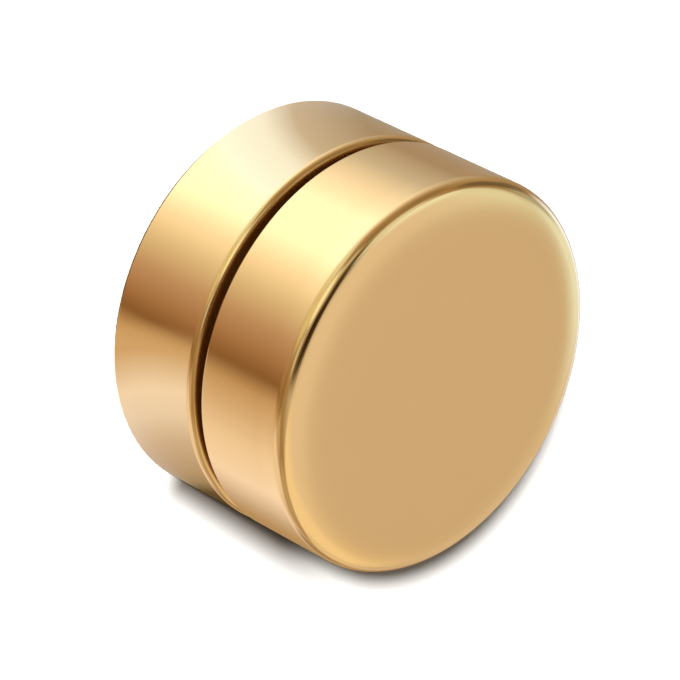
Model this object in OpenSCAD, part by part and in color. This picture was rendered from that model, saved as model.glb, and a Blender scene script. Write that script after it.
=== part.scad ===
// Magnetic earring: two round cups on one axis, each with a disc magnet, that hold each other through the
// ear lobe. It lies closed on the back cup's flat face, with the axis along Z and the front face up.

/* [Cups] */
// Diameter of the front and the back cup
cup_d = 10; // [9.5:0.5:16]
// Thickness of each cup along the axis
cup_t = 2.85; // [2.6:0.05:5]
// Radius of the rounded edge at the front of each cup
edge_r = 0.25; // [0.1:0.01:0.5]
// Width of the small break on the rear edge of each cup
rear_break = 0.05; // [0.02:0.01:0.12]

/* [Groove] */
// Width of the open groove between the closed cups
groove_w = 0.31; // [0.2:0.01:0.8]

/* [Magnets] */
// Diameter of each magnet
magnet_d = 8; // [5:0.5:8]
// Thickness of each magnet
magnet_t = 2; // [1:0.1:2]
// Width of the break on both edges of each magnet
magnet_break = 0.15; // [0.05:0.01:0.3]
// Clearance round and under each magnet in its pocket
seat_gap = 0.03; // [0.02:0.01:0.06]
// Space left between the two magnets when the cups are closed
closed_gap = 0.03; // [0.02:0.01:0.06]

/* [Hidden] */
$fn = 96;
cup_r = cup_d / 2;
magnet_r = magnet_d / 2;
pocket_r = magnet_r + seat_gap;
// How far each magnet stands out of its cup
magnet_proud = (groove_w - closed_gap) / 2;
pocket_deep = magnet_t - magnet_proud + seat_gap;
// How far the pocket's cutting cylinder runs past the cup's mouth
cut_over = 1;
// Height of the front cup's rear rim, and of the middle of the groove
front_z = cup_t + groove_w;
groove_z = cup_t + groove_w / 2;

// Half section of a cup, from the axis to the rim, with its rear on the X axis and its front at cup_t
module cup_section() {
    polygon([
        [0, 0],
        [cup_r - rear_break, 0],
        [cup_r, rear_break],
        [cup_r, cup_t - edge_r],
        [0, cup_t - edge_r]
    ]);
    square([cup_r - edge_r, cup_t]);
    intersection() {
        translate([cup_r - edge_r, cup_t - edge_r]) circle(r = edge_r);
        square([cup_r, cup_t]);
    }
}

// A cup with a round pocket whose lower end is at the height pocket_z
module cup(pocket_z) {
    difference() {
        rotate_extrude() cup_section();
        translate([0, 0, pocket_z]) cylinder(r = pocket_r, h = pocket_deep + cut_over);
    }
}

// A plain disc magnet, its lower face at height 0
module magnet() {
    rotate_extrude() polygon([
        [0, 0],
        [magnet_r - magnet_break, 0],
        [magnet_r, magnet_break],
        [magnet_r, magnet_t - magnet_break],
        [magnet_r - magnet_break, magnet_t],
        [0, magnet_t]
    ]);
}

// The front cup's pocket opens down, towards the groove
module front_cup() {
    color("goldenrod") translate([0, 0, front_z]) cup(-cut_over);
}

module front_magnet() {
    color("silver") translate([0, 0, groove_z + closed_gap / 2]) magnet();
}

// The back cup's pocket opens up, towards the groove
module back_cup() {
    color("goldenrod") cup(cup_t - pocket_deep);
}

module back_magnet() {
    color("silver") translate([0, 0, groove_z - closed_gap / 2 - magnet_t]) magnet();
}

front_cup();
front_magnet();
back_cup();
back_magnet();
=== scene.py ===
import bpy
import numpy as np
from math import cos, degrees, pi, radians, sin, tan
from mathutils import Matrix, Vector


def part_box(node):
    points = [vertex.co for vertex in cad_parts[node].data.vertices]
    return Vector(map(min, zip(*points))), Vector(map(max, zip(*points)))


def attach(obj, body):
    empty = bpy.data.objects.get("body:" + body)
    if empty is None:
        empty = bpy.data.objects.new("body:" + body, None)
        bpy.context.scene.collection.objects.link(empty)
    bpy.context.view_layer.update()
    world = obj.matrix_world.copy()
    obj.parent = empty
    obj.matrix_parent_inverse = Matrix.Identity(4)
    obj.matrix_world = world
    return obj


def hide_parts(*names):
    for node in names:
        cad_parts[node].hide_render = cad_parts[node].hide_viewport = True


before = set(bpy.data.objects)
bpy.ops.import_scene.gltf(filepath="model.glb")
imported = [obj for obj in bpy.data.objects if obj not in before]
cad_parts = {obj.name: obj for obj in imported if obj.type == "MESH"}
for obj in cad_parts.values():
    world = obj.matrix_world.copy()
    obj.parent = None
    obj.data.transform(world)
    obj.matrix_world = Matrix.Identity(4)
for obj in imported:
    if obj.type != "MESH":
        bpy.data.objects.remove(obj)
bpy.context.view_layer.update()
print("frame loaded, nodes:", ", ".join(sorted(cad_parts)))

mm = 0.001  # the frame is in metres


# Camera: at the photograph's angle to the earring, which lies on its back face.
# tilt is the angle between the line of sight and the earring's axis, turn the angle of that axis in the
# picture, from its right edge downwards. The middle of the front cup's rear rim lies at centrePixel.
cameraSpec = {
    "framePixels": 680,
    "focalPixels": 4634.0,
    "pixelsPerRadius": 208.3,
    "centrePixel": (356.7, 338.7),
    "tilt": radians(49.93),
    "turn": radians(26.85),
    "sensor": 36.0,
    "clip": (0.005, 5.0),
}


def makeCamera(spec, aim, cupRadius):
    # picture axes: x to the right, y down, z into the picture
    half = spec["framePixels"] / 2
    depth = spec["focalPixels"] / spec["pixelsPerRadius"]
    across = [(pixel - half) / spec["pixelsPerRadius"] for pixel in spec["centrePixel"]]
    aimSeen = np.array([across[0], across[1], depth]) * cupRadius
    up = np.array([
        sin(spec["tilt"]) * cos(spec["turn"]),
        sin(spec["tilt"]) * sin(spec["turn"]),
        -cos(spec["tilt"]),
    ])
    # the level direction from the earring to the camera is the frame's -Y
    nearer = -aimSeen - up * np.dot(-aimSeen, up)
    nearer /= np.linalg.norm(nearer)
    seen = np.array([np.cross(up, nearer), -nearer, up])
    right, down, ahead = seen.T
    data = bpy.data.cameras.new("photoCamera")
    data.sensor_width = spec["sensor"]
    data.lens = spec["focalPixels"] / spec["framePixels"] * spec["sensor"]
    data.clip_start, data.clip_end = spec["clip"]
    camera = bpy.data.objects.new("photoCamera", data)
    turned = np.eye(4)
    turned[:3, 0] = right
    turned[:3, 1] = -down
    turned[:3, 2] = -ahead
    turned[:3, 3] = np.array(aim) - seen @ aimSeen
    camera.matrix_world = Matrix(turned.tolist())
    bpy.context.scene.collection.objects.link(camera)
    bpy.context.scene.camera = camera
    return camera


frontLow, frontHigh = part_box("front_cup")
camera = makeCamera(cameraSpec, (0, 0, frontLow.z), frontHigh.x)
print("camera placed")


# Profiles: half sections as arrays of radius and height, from the upper pole out and round to the lower pole.
shortestStep = 0.00001 * mm


def straight(start, end, count=14):
    # from start to end, at shares of (1 - cosine of an even angle) / 2, which crowd towards both ends
    share = (1 - np.cos(np.linspace(0, pi, count))) / 2
    return start[0] + (end[0] - start[0]) * share, start[1] + (end[1] - start[1]) * share


def corner(centre, radius, fromAngle, toAngle, count=9):
    # a circular arc, with its angles in degrees from the outward direction, turning up
    angle = np.radians(np.linspace(fromAngle, toAngle, count))
    return centre[0] + radius * np.cos(angle), centre[1] + radius * np.sin(angle)


def joined(*stretches):
    # the stretches in a row, without the points that repeat the one before
    radius = np.concatenate([stretch[0] for stretch in stretches])
    height = np.concatenate([stretch[1] for stretch in stretches])
    step = np.hypot(np.diff(radius), np.diff(height))
    keep = np.concatenate([[True], step > shortestStep])
    return radius[keep], height[keep]


def softFace(inner, rim, top, spec):
    # from the radius inner out to the rim, in three stretches. Crown: the slope grows with a power of the
    # radius, so the height falls with the next power. Roll: radius and height are the sums of the slope's
    # cosine and sine. Edge: an arc, whose radius takes up what is left of the whole fall.
    crown, roll, power = spec["crownSlope"], spec["rollSlope"], spec["crownPower"] + 1
    lean = tan(crown) / power
    share = np.linspace(0, 1, spec["rollSteps"])
    slope = crown + (roll - crown) * share ** spec["rollPower"]
    middle = (slope[1:] + slope[:-1]) / 2
    step = spec["rollLength"] / (spec["rollSteps"] - 1)
    out = np.concatenate([[0], np.cumsum(np.cos(middle) * step)])
    drop = np.concatenate([[0], np.cumsum(np.sin(middle) * step)])
    radius = (spec["fall"] - drop[-1] - (rim - out[-1]) * lean) / (cos(roll) - (1 - sin(roll)) * lean)
    start = rim - radius * (1 - sin(roll)) - out[-1]
    crownRadius, _ = straight((inner, 0), (start, 0), spec["crownSteps"])
    crownHeight = top - start * lean * (crownRadius / start) ** power
    edge = corner((rim - radius, top - spec["fall"]), radius, 90 - degrees(roll), 0, spec["edgeSteps"])
    return joined((crownRadius, crownHeight), (start + out, crownHeight[-1] - drop), edge)


def lathe(name, radius, height, turns, marks=None):
    # the profile turned about Z: x = radius * cos(angle), y = radius * sin(angle), z = height; the first and
    # the last point lie on the axis and close the surface with one vertex each. marks are attributes by name,
    # with a value for each point of the profile.
    angle = np.linspace(0, 2 * pi, turns, endpoint=False)
    ringRadius, ringHeight = radius[1:-1], height[1:-1]
    x = ringRadius[:, None] * np.cos(angle)
    y = ringRadius[:, None] * np.sin(angle)
    z = np.repeat(ringHeight[:, None], turns, axis=1)
    rings = np.stack([x, y, z], axis=-1).reshape(-1, 3)
    points = np.vstack([[0, 0, height[0]], rings, [0, 0, height[-1]]])
    index = 1 + np.arange(len(ringRadius) * turns).reshape(-1, turns)
    ahead = np.roll(index, -1, axis=1)
    quads = np.stack([index[:-1], index[1:], ahead[1:], ahead[:-1]], axis=-1).reshape(-1, 4)
    first = np.stack([np.zeros(turns, int), index[0], ahead[0]], axis=-1)
    last = np.stack([np.full(turns, len(points) - 1), ahead[-1], index[-1]], axis=-1)
    corners = np.concatenate([quads.ravel(), first.ravel(), last.ravel()])
    sizes = np.concatenate([np.full(len(quads), 4), np.full(2 * turns, 3)])
    mesh = bpy.data.meshes.new(name)
    mesh.vertices.add(len(points))
    mesh.vertices.foreach_set("co", points.ravel())
    mesh.loops.add(len(corners))
    mesh.loops.foreach_set("vertex_index", corners)
    mesh.polygons.add(len(sizes))
    mesh.polygons.foreach_set("loop_start", np.concatenate([[0], np.cumsum(sizes)[:-1]]))
    mesh.polygons.foreach_set("use_smooth", np.ones(len(sizes), bool))
    mesh.update(calc_edges=True)
    for mark, values in (marks or {}).items():
        inner = np.repeat(values[1:-1], turns)
        attribute = mesh.attributes.new(mark, "FLOAT", "POINT")
        attribute.data.foreach_set("value", np.concatenate([values[:1], inner, values[-1:]]))
    mesh.validate()
    piece = bpy.data.objects.new(name, mesh)
    bpy.context.scene.collection.objects.link(piece)
    return piece


# Materials. The effects that they share are node groups, with the numbers of their patterns in effectSpec.

class Tree:
    # a short way to add nodes. Sockets are given by name, with _ for a space, or by number as i0, i1 and so
    # on, each as a value or as the output that feeds it. add gives back the output that out names.
    def __init__(self, tree):
        self.tree = tree

    def add(self, kind, settings=None, out=0, **inputs):
        node = self.tree.nodes.new(kind)
        for key, value in (settings or {}).items():
            setattr(node, key, value)
        for key, value in inputs.items():
            socket = node.inputs[int(key[1:])] if key[1:].isdigit() else node.inputs[key.replace("_", " ")]
            if isinstance(value, bpy.types.NodeSocket):
                self.tree.links.new(value, socket)
            else:
                socket.default_value = value
        return node.outputs[out] if node.outputs else node

    def split(self, vector):
        return self.add("ShaderNodeSeparateXYZ", i0=vector).node.outputs

    def math(self, operation, a, b=0.0, c=0.0, clamp=False):
        return self.add("ShaderNodeMath", {"operation": operation, "use_clamp": clamp}, i0=a, i1=b, i2=c)

    def vectorMath(self, operation, a, b=(0.0, 0.0, 0.0), out="Vector"):
        return self.add("ShaderNodeVectorMath", {"operation": operation}, out=out, i0=a, i1=b)

    def mapped(self, value, low, high):
        # 0 at low, 1 at high and a smooth step between, also where low is the higher of the two
        return self.add("ShaderNodeMapRange", {"interpolation_type": "SMOOTHSTEP"}, Value=value, From_Min=low,
                        From_Max=high)

    def mix(self, share, a, b):
        # the colour sockets of a Mix node are its inputs 6 and 7 and its output 2
        return self.add("ShaderNodeMix", {"data_type": "RGBA"}, out=2, i0=share, i6=a, i7=b)

    def link(self, output, socket):
        self.tree.links.new(output, socket)


def newGroup(name, inputs, outputs):
    group = bpy.data.node_groups.new(name, "ShaderNodeTree")
    for key, kind, value in inputs:
        socket = group.interface.new_socket(key, in_out="INPUT", socket_type=kind)
        if value is not None:
            socket.default_value = value
    for key, kind in outputs:
        group.interface.new_socket(key, in_out="OUTPUT", socket_type=kind)
    tree = Tree(group)
    source = group.nodes.new("NodeGroupInput")
    target = group.nodes.new("NodeGroupOutput")
    return group, tree, source.outputs, target.inputs


effectSpec = {
    "lines": {"detail": 3.0, "roughness": 0.6},
    "clouds": {"detail": 4.0, "roughness": 0.5, "mask": (0.3, 0.7)},
    "hairlines": {"stretch": (1.0, 0.12, 0.35), "breakDetail": 2.0, "breakMask": (0.52, 0.66)},
}


def turnedLinesGroup(spec):
    # fine lines that run round the axis, on the walls and on the faces alike: a noise that is stretched along
    # the circle, because it reads the direction from the axis and the sum of height and radius
    inputs = [("Vector", "NodeSocketVector", None), ("Spacing", "NodeSocketFloat", 0.0001),
              ("Length", "NodeSocketFloat", 3.0)]
    outputs = [("Height", "NodeSocketFloat")]
    group, tree, given, result = newGroup("turnedLines", inputs, outputs)
    x, y, z = tree.split(given["Vector"])
    flat = tree.add("ShaderNodeCombineXYZ", i0=x, i1=y)
    radius = tree.vectorMath("LENGTH", flat, out="Value")
    facingX, facingY, _ = tree.split(tree.vectorMath("NORMALIZE", flat))
    across = tree.math("DIVIDE", tree.math("ADD", z, radius), given["Spacing"])
    place = tree.add("ShaderNodeCombineXYZ", i0=tree.math("MULTIPLY", facingX, given["Length"]),
                     i1=tree.math("MULTIPLY", facingY, given["Length"]), i2=across)
    noise = tree.add("ShaderNodeTexNoise", {"noise_dimensions": "3D"}, Vector=place, Scale=1.0,
                     Detail=spec["detail"], Roughness=spec["roughness"])
    tree.link(noise, result["Height"])
    return group


def cloudGroup(spec):
    # broad soft patches, such as the plating's slight change of tone
    inputs = [("Vector", "NodeSocketVector", None), ("Size", "NodeSocketFloat", 0.002)]
    outputs = [("Mask", "NodeSocketFloat")]
    group, tree, given, result = newGroup("clouds", inputs, outputs)
    scale = tree.math("DIVIDE", 1.0, given["Size"])
    noise = tree.add("ShaderNodeTexNoise", {"noise_dimensions": "3D"}, Vector=given["Vector"], Scale=scale,
                     Detail=spec["detail"], Roughness=spec["roughness"])
    tree.link(tree.mapped(noise, *spec["mask"]), result["Mask"])
    return group


def hairlineGroup(spec):
    # hairline scratches: the thin borders of stretched cells, broken up by a second noise
    inputs = [("Vector", "NodeSocketVector", None), ("Size", "NodeSocketFloat", 0.001),
              ("Width", "NodeSocketFloat", 0.01), ("Turn", "NodeSocketVector", None)]
    outputs = [("Mask", "NodeSocketFloat")]
    group, tree, given, result = newGroup("hairlines", inputs, outputs)
    turned = tree.add("ShaderNodeVectorRotate", {"rotation_type": "EULER_XYZ"}, Vector=given["Vector"],
                      Rotation=given["Turn"])
    stretched = tree.vectorMath("MULTIPLY", turned, spec["stretch"])
    scale = tree.math("DIVIDE", 1.0, given["Size"])
    cells = tree.add("ShaderNodeTexVoronoi", {"feature": "DISTANCE_TO_EDGE"}, Vector=stretched, Scale=scale)
    line = tree.mapped(cells, given["Width"], 0.0)
    breaks = tree.add("ShaderNodeTexNoise", {"noise_dimensions": "3D"}, Vector=given["Vector"], Scale=scale,
                      Detail=spec["breakDetail"])
    tree.link(tree.math("MULTIPLY", line, tree.mapped(breaks, *spec["breakMask"])), result["Mask"])
    return group


turnedLines = turnedLinesGroup(effectSpec["lines"])
clouds = cloudGroup(effectSpec["clouds"])
hairlines = hairlineGroup(effectSpec["hairlines"])


def useGroup(tree, group, **inputs):
    return tree.add("ShaderNodeGroup", {"node_tree": group}, **inputs)


def emptyMaterial(name):
    material = bpy.data.materials.new(name)
    material.use_nodes = True
    material.node_tree.nodes.clear()
    return material, Tree(material.node_tree)


def plainMaterial(name):
    material, tree = emptyMaterial(name)
    surface = tree.add("ShaderNodeBsdfPrincipled")
    tree.add("ShaderNodeOutputMaterial", Surface=surface)
    return material, tree, surface.node


def metalSurface(tree, shader, finish):
    # what both metals share: the bump has the turned lines and the scratches, and the roughness the patches
    # and the scratches. The patches and the roughness go back to the material, which adds its own to them.
    place = tree.add("ShaderNodeTexCoord", out="Object")
    patches = useGroup(tree, clouds, Vector=place, Size=finish["cloudSize"])
    lines = useGroup(tree, turnedLines, Vector=place, Spacing=finish["lineSpacing"],
                     Length=finish["lineLength"])
    scratches = useGroup(tree, hairlines, Vector=place, Size=finish["scratchSize"],
                         Width=finish["scratchWidth"], Turn=finish["scratchTurn"])
    height = tree.math("MULTIPLY", lines, finish["lineDepth"])
    height = tree.math("SUBTRACT", height, tree.math("MULTIPLY", scratches, finish["scratchDepth"]))
    tree.link(tree.add("ShaderNodeBump", Height=height, Distance=1.0), shader.inputs["Normal"])
    shader.inputs["Metallic"].default_value = 1.0
    rough = tree.math("MULTIPLY_ADD", patches, finish["roughnessSpread"], finish["roughness"])
    rough = tree.math("MULTIPLY_ADD", scratches, finish["scratchRoughness"], rough)
    return patches, rough


goldFinish = {
    "colour": (0.93, 0.66, 0.34, 1),
    "deepColour": (0.922, 0.650, 0.332, 1),
    # painted shade: a darker brown base colour that makes the groove and the pocket look dark
    "recessShadeColour": (0.62, 0.36, 0.12, 1),
    "roughness": 0.11,
    "roughnessSpread": 0.015,
    "rimRoughness": 0.03,  # taken off at the rim
    "recessRoughness": 0.3,  # added in the groove and the pocket
    "lineSpacing": 0.06 * mm,
    "lineLength": 3.0,  # a higher value gives shorter lines
    "lineDepth": 0.00015 * mm,
    "cloudSize": 1.6 * mm,
    "scratchSize": 1.1 * mm,
    "scratchWidth": 0.012,
    "scratchDepth": 0.0001 * mm,
    "scratchRoughness": 0.08,
    "scratchTurn": (0.4, 0.2, 0.9),
}


def goldMaterial(finish):
    # the attributes rim and recess are the cups' own: the rim is smoother; the recess is rougher and takes a
    # darker brown base colour, a painted shade in the groove and the pocket
    material, tree, shader = plainMaterial("polishedGold")
    rim = tree.add("ShaderNodeAttribute", {"attribute_name": "rim"}, out="Fac")
    recess = tree.add("ShaderNodeAttribute", {"attribute_name": "recess"}, out="Fac")
    patches, rough = metalSurface(tree, shader, finish)
    tone = tree.mix(patches, finish["colour"], finish["deepColour"])
    # painted shade: the groove and the pocket take the darker recess colour
    tree.link(tree.mix(recess, tone, finish["recessShadeColour"]), shader.inputs["Base Color"])
    rough = tree.math("SUBTRACT", rough, tree.math("MULTIPLY", rim, finish["rimRoughness"]))
    rough = tree.math("MULTIPLY_ADD", recess, finish["recessRoughness"], rough, clamp=True)
    tree.link(rough, shader.inputs["Roughness"])
    return material


nickelFinish = {
    "colour": (0.68, 0.68, 0.66, 1),
    "dullColour": (0.64, 0.64, 0.62, 1),
    "roughness": 0.22,
    "roughnessSpread": 0.04,
    "lineSpacing": 0.05 * mm,
    "lineLength": 2.0,
    "lineDepth": 0.00008 * mm,
    "cloudSize": 1.0 * mm,
    "scratchSize": 0.7 * mm,
    "scratchWidth": 0.02,
    "scratchDepth": 0.0003 * mm,
    "scratchRoughness": 0.12,
    "scratchTurn": (0.2, 0.7, 0.3),
}


def nickelMaterial(finish):
    material, tree, shader = plainMaterial("magnetNickel")
    patches, rough = metalSurface(tree, shader, finish)
    tree.link(tree.mix(patches, finish["colour"], finish["dullColour"]), shader.inputs["Base Color"])
    tree.link(rough, shader.inputs["Roughness"])
    return material


polishedGold = goldMaterial(goldFinish)
magnetNickel = nickelMaterial(nickelFinish)
print("materials made")


# Cups: both have the soft edge at the front. The front cup's pocket opens down, the back cup's up. recess is
# where the rougher metal with the painted shade ends, past the rim's radius, and recessStart where it begins,
# past the closed face.
cupSpec = {
    "turns": 288,  # points round the axis
    "frontEdge": {
        "fall": 0.37 * mm,  # from the middle of the face down to the straight wall
        "crownSlope": radians(5),  # where the crown ends and the roll begins
        "crownPower": 8,
        "crownSteps": 60,
        "rollLength": 0.25 * mm,
        "rollSlope": radians(15),  # where the roll ends and the arc begins
        "rollPower": 1.5,
        "rollSteps": 16,
        "edgeSteps": 33,
    },
    "backEdge": {
        "fall": 0.2 * mm,
        "crownSlope": 0,
        "crownPower": 1,
        "crownSteps": 20,
        "rollLength": 0.1 * mm,
        "rollSlope": radians(15),
        "rollPower": 1.5,
        "rollSteps": 12,
        "edgeSteps": 33,
    },
    "rearBreak": {"front": 0.05 * mm, "back": 0.1 * mm},  # of the crisp rear edges
    "pocketBreak": 0.03 * mm,
    "seatGap": 0.03 * mm,  # round a magnet and over it
    "rimFade": 0.25 * mm,  # how far inwards the smoother rim reaches
    "recess": {"front": (-0.10 * mm, 0.02 * mm), "back": (-0.15 * mm, -0.05 * mm)},
    "recessStart": {"front": (0.6 * mm, 0.9 * mm), "back": (0.2 * mm, 0.5 * mm)},
    "baseSteps": 30,
}


def frontCupProfile(spec, low, high, pocketRadius, pocketTop):
    rim, rear, lip = high.x, spec["rearBreak"]["front"], spec["pocketBreak"]
    face = softFace(0, rim, high.z, spec["frontEdge"])
    return joined(
        face,
        straight((rim, face[1][-1]), (rim, low.z + rear)),
        corner((rim - rear, low.z + rear), rear, 0, -90),
        straight((rim - rear, low.z), (pocketRadius + lip, low.z)),
        corner((pocketRadius + lip, low.z + lip), lip, 270, 180),
        straight((pocketRadius, low.z + lip), (pocketRadius, pocketTop)),
        straight((pocketRadius, pocketTop), (0, pocketTop)),
    )


def backCupProfile(spec, low, high, pocketRadius, pocketFloor):
    rim, rear, lip = high.x, spec["rearBreak"]["back"], spec["pocketBreak"]
    face = softFace(pocketRadius + lip, rim, high.z, spec["backEdge"])
    return joined(
        straight((0, pocketFloor), (pocketRadius, pocketFloor)),
        straight((pocketRadius, pocketFloor), (pocketRadius, high.z - lip)),
        corner((pocketRadius + lip, high.z - lip), lip, 180, 90),
        face,
        straight((rim, face[1][-1]), (rim, low.z + rear)),
        corner((rim - rear, low.z + rear), rear, 0, -90),
        straight((rim - rear, low.z), (0, low.z), spec["baseSteps"]),
    )


def smoothShare(values, start, end):
    # 0 before start, 1 past end, and between them the share's smooth step, 3 squares less 2 cubes
    share = np.clip((values - start) / (end - start), 0, 1)
    return share * share * (3 - 2 * share)


def dress(piece, body, slot, material, *nodes):
    piece.data.materials.append(material)
    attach(piece, body)
    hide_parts(*nodes)


backLow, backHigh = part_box("back_cup")
frontMagnetLow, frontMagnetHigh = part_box("front_magnet")
backMagnetLow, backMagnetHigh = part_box("back_magnet")
pocketRadius = frontMagnetHigh.x + cupSpec["seatGap"]

frontShape = frontCupProfile(cupSpec, frontLow, frontHigh, pocketRadius,
                             frontMagnetHigh.z + cupSpec["seatGap"])
backShape = backCupProfile(cupSpec, backLow, backHigh, pocketRadius,
                           backMagnetLow.z - cupSpec["seatGap"])


def cupMarks(spec, side, shape, rim, closedFace):
    # rim is 1 at the outer edge and fades inwards; recess is 1 inside the groove and the pocket, where the
    # painted shade and the extra roughness go
    radius, height = shape
    inside = 1 - smoothShare(radius - rim, *spec["recess"][side])
    away = smoothShare(abs(height - closedFace), *spec["recessStart"][side])
    return {"rim": smoothShare(radius, rim - spec["rimFade"], rim), "recess": inside * away}


frontMarks = cupMarks(cupSpec, "front", frontShape, frontHigh.x, frontHigh.z)
backMarks = cupMarks(cupSpec, "back", backShape, backHigh.x, backLow.z)
frontCup = lathe("frontCup", *frontShape, cupSpec["turns"], frontMarks)
backCup = lathe("backCup", *backShape, cupSpec["turns"], backMarks)
dress(frontCup, "front_half", "gold", polishedGold, "front_cup")
dress(backCup, "back_half", "gold", polishedGold, "back_cup")
print("cups made")


# Magnets: plain discs with a rounded break on both edges.
magnetSpec = {"turns": 192, "break": 0.15 * mm, "breakSteps": 13, "faceSteps": 24}


def magnetProfile(spec, low, high):
    rim, edge = high.x, spec["break"]
    return joined(
        straight((0, high.z), (rim - edge, high.z), spec["faceSteps"]),
        corner((rim - edge, high.z - edge), edge, 90, 0, spec["breakSteps"]),
        straight((rim, high.z - edge), (rim, low.z + edge)),
        corner((rim - edge, low.z + edge), edge, 0, -90, spec["breakSteps"]),
        straight((rim - edge, low.z), (0, low.z), spec["faceSteps"]),
    )


frontMagnet = lathe("frontMagnet", *magnetProfile(magnetSpec, frontMagnetLow, frontMagnetHigh),
                    magnetSpec["turns"])
backMagnet = lathe("backMagnet", *magnetProfile(magnetSpec, backMagnetLow, backMagnetHigh),
                   magnetSpec["turns"])
dress(frontMagnet, "front_half", "nickel", magnetNickel, "front_magnet")
dress(backMagnet, "back_half", "nickel", magnetNickel, "back_magnet")
print("magnets made")


# Stage: a plain pale floor that the polished walls don't mirror, so that they show the studio instead.
# The shade is a painted shadow, a soft dark strip in the floor's colour beside the foot, along +Y. Its edges
# are given as start and end, across and along the strip, which is turned a little about Z.
floorSpec = {
    "halfWidth": 1.0,
    "drop": 0.01 * mm,  # below the earring's foot
    "colour": (0.80, 0.80, 0.80, 1),
    "otherColour": (0.81, 0.81, 0.81, 1),
    "cloudSize": 0.02,
    "roughness": 0.6,
    "shadeColour": (0.10, 0.085, 0.07, 1),
    "shadeTurn": radians(5),
    "shadeInner": (4.5 * mm, 4.9 * mm),
    "shadeOuter": (5.85 * mm, 4.9 * mm),
    "shadeStart": (-0.1 * mm, 0.9 * mm),
    "shadeEnd": (8.5 * mm, 5 * mm),
}


def makeFloor(spec):
    half, z = spec["halfWidth"], -spec["drop"]
    mesh = bpy.data.meshes.new("floor")
    mesh.from_pydata([(-half, -half, z), (half, -half, z), (half, half, z), (-half, half, z)], [],
                     [(0, 1, 2, 3)])
    floor = bpy.data.objects.new("floor", mesh)
    bpy.context.scene.collection.objects.link(floor)
    material, tree, shader = plainMaterial("paleFloor")
    place = tree.add("ShaderNodeTexCoord", out="Object")
    patches = useGroup(tree, clouds, Vector=place, Size=spec["cloudSize"])
    turned = tree.add("ShaderNodeVectorRotate", {"rotation_type": "Z_AXIS"}, Vector=place,
                      Angle=spec["shadeTurn"])
    across, along, _ = tree.split(turned)
    shade = tree.mapped(across, *spec["shadeOuter"])
    shade = tree.math("MULTIPLY", shade, tree.mapped(across, *spec["shadeInner"]))
    shade = tree.math("MULTIPLY", shade, tree.mapped(along, *spec["shadeStart"]))
    shade = tree.math("MULTIPLY", shade, tree.mapped(along, *spec["shadeEnd"]))
    tone = tree.mix(patches, spec["colour"], spec["otherColour"])
    # painted shadow: inside the strip the floor's colour darkens towards shadeColour
    tree.link(tree.mix(shade, tone, spec["shadeColour"]), shader.inputs["Base Color"])
    shader.inputs["Roughness"].default_value = spec["roughness"]
    shader.inputs["Specular IOR Level"].default_value = 0.0
    mesh.materials.append(material)
    floor.visible_glossy = False


makeFloor(floorSpec)


# Glow: a painted reflection. An emitting disc just above the floor stands in for what the floor close to the
# earring throws back on the lower walls, its shadow there included as the dark tones. Only reflections see
# it, and only as far as reach. tones holds (angle round the axis, how much shows, colour).
glowSpec = {
    "radius": 12 * mm,
    "sides": 64,
    "drop": 0.005 * mm,  # below the earring's foot and above the floor
    "gain": 2.2,
    "reach": (4.8 * mm, 3.9 * mm),
    "tones": [
        (-120, 0, (0.42, 0.36, 0.27)),
        (-90, 1, (0.42, 0.36, 0.27)),
        (-62, 1, (0.65, 0.65, 0.68)),
        (-50, 1, (1.05, 1.28, 1.68)),
        (-35, 1, (1.10, 1.50, 2.00)),
        (-18, 0, (1.10, 1.50, 1.70)),
        (26, 0, (0.69, 0.54, 0.38)),
        (35, 1, (0.69, 0.54, 0.38)),
        (50, 1, (0.98, 0.98, 1.09)),
        (60, 1, (0.90, 0.90, 1.00)),
        (72, 1, (0.70, 0.63, 0.61)),
        (88, 1, (0.52, 0.42, 0.31)),
        (94, 1, (0.41, 0.32, 0.20)),
        (101, 1, (0.15, 0.10, 0.04)),
        (110, 1, (0.10, 0.06, 0.02)),
        (130, 1, (0.10, 0.06, 0.02)),
        (150, 0, (0.10, 0.06, 0.02)),
    ],
}


def turnRamp(tree, x, y, stops, gain):
    # a colour ramp by the angle round the earring's axis, from the camera's side towards +X. stops are (angle
    # in degrees, opacity, colour) in rising order. The ramp holds each colour divided by the gain.
    angle = tree.math("ARCTAN2", x, tree.math("MULTIPLY", y, -1.0))
    share = tree.math("ADD", tree.math("DIVIDE", angle, 2 * pi), 0.5)
    ramp = tree.add("ShaderNodeValToRGB", Fac=share)
    elements = ramp.node.color_ramp.elements
    while len(elements) < len(stops):
        elements.new(0.5)  # its place comes below
    for element, (stopAngle, opacity, colour) in zip(elements, stops):
        element.position = stopAngle / 360 + 0.5
        element.color = [c / gain for c in colour] + [opacity]
    return ramp


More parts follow.
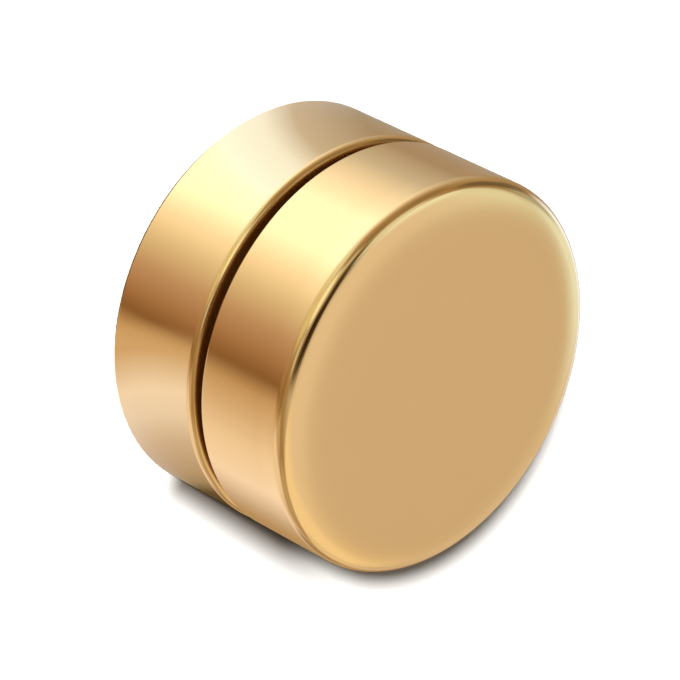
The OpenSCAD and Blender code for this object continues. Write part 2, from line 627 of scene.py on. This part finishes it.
def makeGlow(spec):
    # a flat disc: x = radius * cos(angle), y = radius * sin(angle), just above the floor
    angle = np.linspace(0, 2 * pi, spec["sides"], endpoint=False)
    level = np.full(spec["sides"], -spec["drop"])
    ring = np.stack([spec["radius"] * np.cos(angle), spec["radius"] * np.sin(angle), level], axis=-1)
    mesh = bpy.data.meshes.new("paintedFloorReflection")
    mesh.from_pydata(ring.tolist(), [], [list(range(spec["sides"]))])
    glow = bpy.data.objects.new("paintedFloorReflection", mesh)
    bpy.context.scene.collection.objects.link(glow)
    material, tree = emptyMaterial("paintedFloorReflection")
    x, y, _ = tree.split(tree.add("ShaderNodeTexCoord", out="Object"))
    ramp = turnRamp(tree, x, y, spec["tones"], spec["gain"])
    far = tree.add("ShaderNodeLightPath", out="Ray Length")
    shown = tree.math("MULTIPLY", ramp.node.outputs["Alpha"], tree.mapped(far, *spec["reach"]))
    clear = tree.add("ShaderNodeBsdfTransparent")
    # painted reflection: the disc emits the ramp's tones, dark ones for the floor's shadow
    bright = tree.add("ShaderNodeEmission", Color=ramp, Strength=spec["gain"])
    both = tree.add("ShaderNodeMixShader", i0=shown, i1=clear, i2=bright)
    tree.add("ShaderNodeOutputMaterial", Surface=both)
    mesh.materials.append(material)
    glow.visible_camera = False
    glow.visible_diffuse = False
    glow.visible_shadow = False


makeGlow(glowSpec)


# Lights: the key comes from near the camera and the wide light from further up, so that the shadow shows
# along the earring's lower edge. up and left are the angles from the camera's own line of sight.
lightSpec = {
    "key": {
        "strength": 6.8,
        "colour": (1.0, 0.98, 0.955),
        "angle": radians(3.2),
        "up": radians(4.7),
        "left": radians(1.35),
    },
    "wide": {
        "strength": 2.0,
        "colour": (1.0, 0.985, 0.97),
        "angle": radians(20),
        "up": radians(15),
        "left": radians(2),
    },
}


def makeLight(name, spec, camera):
    data = bpy.data.lights.new(name, "SUN")
    data.energy = spec["strength"]
    data.color = spec["colour"]
    data.angle = spec["angle"]
    light = bpy.data.objects.new(name, data)
    shift = Matrix.Rotation(-spec["up"], 4, "X") @ Matrix.Rotation(-spec["left"], 4, "Y")
    light.matrix_world = camera.matrix_world @ shift
    light.visible_glossy = False
    bpy.context.scene.collection.objects.link(light)


for lightName, lightValues in lightSpec.items():
    makeLight(lightName, lightValues, camera)


# Studio: the surroundings that the metal mirrors, by direction in degrees. Azimuth 0 is the camera's side and
# 90 the frame's +X. ring holds (azimuth, colour) for the soft cards and the dark gaps between them, low down.
# belt and dome take its place further up and nadir below, each from the first elevation of its range to the
# second. patches are round and soft, each over those before it: (name, azimuth, elevation, inner radius,
# outer radius, colour). Only mirror images show all this: the camera sees white, and other rays ambient.
studioSpec = {
    "gain": 2.0,
    "ring": [
        (-180, (0.44, 0.36, 0.27)),
        (-130, (0.435, 0.35, 0.26)),
        (-104, (0.65, 0.65, 0.62)),
        (-72, (1.30, 1.30, 1.28)),
        (-60, (1.60, 1.62, 1.65)),
        (-34, (1.60, 1.62, 1.62)),
        (-16, (1.15, 1.10, 0.98)),
        (0, (0.81, 0.74, 0.59)),
        (16, (0.58, 0.42, 0.31)),
        (32, (0.41, 0.24, 0.14)),
        (43, (0.26, 0.14, 0.06)),
        (54, (0.62, 0.46, 0.30)),
        (88, (0.97, 0.89, 0.83)),
        (114, (1.06, 1.00, 1.03)),
        (138, (0.64, 0.52, 0.40)),
        (152, (0.53, 0.36, 0.17)),
        (178, (0.42, 0.24, 0.10)),
    ],
    "belt": (0.40, 0.285, 0.143),
    "dome": (0.60, 0.55, 0.45),
    "nadir": (0.12, 0.08, 0.04),
    "beltRange": (-40, 24),
    "domeRange": (40, 74),
    "nadirRange": (-52, -66),
    "patches": [
        ("behind", 180, 12, 10, 34, (0.73, 0.66, 0.57)),
        ("farCard", -161, 3, 6, 22, (1.06, 1.34, 1.90)),
        ("lowCard", 78, -10, 6, 27, (0.94, 0.86, 0.80)),
        ("lowGap", 130, -12, 4, 17, (0.406, 0.298, 0.193)),
        ("lowRight", 64, 13, 4, 17, (0.61, 0.48, 0.33)),
        ("gapRight", 40, 10, 4, 14, (0.31, 0.19, 0.085)),
        ("sideCard", 137, 42, 18, 32, (0.99, 0.88, 0.66)),
        ("lowBack", 152, 2, 5, 14, (0.69, 0.63, 0.53)),
        ("sideLow", 97, 24, 8, 20, (0.54, 0.44, 0.28)),
        ("lowSide", 137, 17, 8, 19, (0.84, 0.74, 0.56)),
        ("darkLow", -134, 9, 3, 10, (0.20, 0.18, 0.18)),
        ("darkSide", -127, 26, 7, 18, (0.18, 0.145, 0.10)),
        ("gapLeft", -90, 33, 7, 18, (0.31, 0.23, 0.13)),
        ("gapHigh", -58, 44, 6, 15, (0.30, 0.22, 0.115)),
        ("sideHigh", -112, 64, 5, 18, (0.82, 0.90, 0.82)),
        ("highCard", -150, 54, 4, 14, (0.96, 1.12, 1.10)),
        ("topCard", -166, 25, 4, 13, (0.89, 1.10, 1.20)),
        ("midCard", -163, 43, 4, 11, (0.82, 0.95, 0.89)),
        ("paleSide", -152, 26, 4, 10, (0.44, 0.53, 0.49)),
        ("above", 180, 54, 6, 18, (0.83, 0.76, 0.68)),
        ("wash", -8, 10, 11, 33, (0.78, 0.74, 0.46)),
        ("washLeft", -28, 3, 4, 18, (0.80, 0.92, 0.77)),
        ("lens", 25, 76, 7, 19, (0.034, 0.018, 0.005)),
        ("lensTop", -170, 86, 4, 18, (0.05, 0.03, 0.01)),
        ("lensLeft", -54, 70, 6, 15, (0.12, 0.09, 0.035)),
        ("lensMiddle", -75, 82, 3, 10, (0.045, 0.027, 0.008)),
        ("lensRight", 33, 60, 3, 12, (0.14, 0.10, 0.05)),
        ("glint", -12, 40, 6, 19, (1.10, 1.15, 0.95)),
        ("glintLeft", -38, 49, 3, 12, (0.60, 0.59, 0.46)),
        ("glintRight", 22, 40, 4, 13, (0.68, 0.62, 0.52)),
        ("face", 180, 38.5, 1, 9, (0.665, 0.584, 0.498)),
    ],
    "ambient": (0.155, 0.13, 0.10),
    "white": 1.1,
}


def direction(azimuth, elevation):
    a, e = radians(azimuth), radians(elevation)
    return (sin(a) * cos(e), -cos(a) * cos(e), sin(e))


def makeStudio(spec):
    world = bpy.data.worlds.new("studio")
    bpy.context.scene.world = world
    world.use_nodes = True
    world.node_tree.nodes.clear()
    tree = Tree(world.node_tree)
    seen = tree.add("ShaderNodeTexCoord", out="Generated")
    x, y, z = tree.split(seen)
    height = tree.math("MULTIPLY", tree.math("ARCSINE", z), 180 / pi)
    stops = [(azimuth, 1, colour) for azimuth, colour in spec["ring"]]
    ramp = turnRamp(tree, x, y, stops, spec["gain"])
    tone = tree.vectorMath("MULTIPLY", ramp, (spec["gain"],) * 3)
    for zone in ("belt", "dome", "nadir"):
        tone = tree.mix(tree.mapped(height, *spec[zone + "Range"]), tone, (*spec[zone], 1))
    for name, azimuth, elevation, inner, outer, colour in spec["patches"]:
        facing = tree.vectorMath("DOT_PRODUCT", seen, direction(azimuth, elevation), out="Value")
        facing.node.label = name
        share = tree.mapped(facing, cos(radians(outer)), cos(radians(inner)))
        tone = tree.mix(share, tone, (*colour, 1))
    path = tree.add("ShaderNodeLightPath").node.outputs
    plain = tree.mix(path["Is Camera Ray"], (*spec["ambient"], 1), (spec["white"],) * 3 + (1,))
    direct = tree.math("SUBTRACT", path["Is Glossy Ray"], path["Diffuse Depth"], clamp=True)
    shown = tree.mix(direct, plain, tone)
    background = tree.add("ShaderNodeBackground", Color=shown, Strength=1.0)
    tree.add("ShaderNodeOutputWorld", Surface=background)


makeStudio(studioSpec)
bpy.context.scene.view_settings.view_transform = "Standard"
print("stage and lights made")
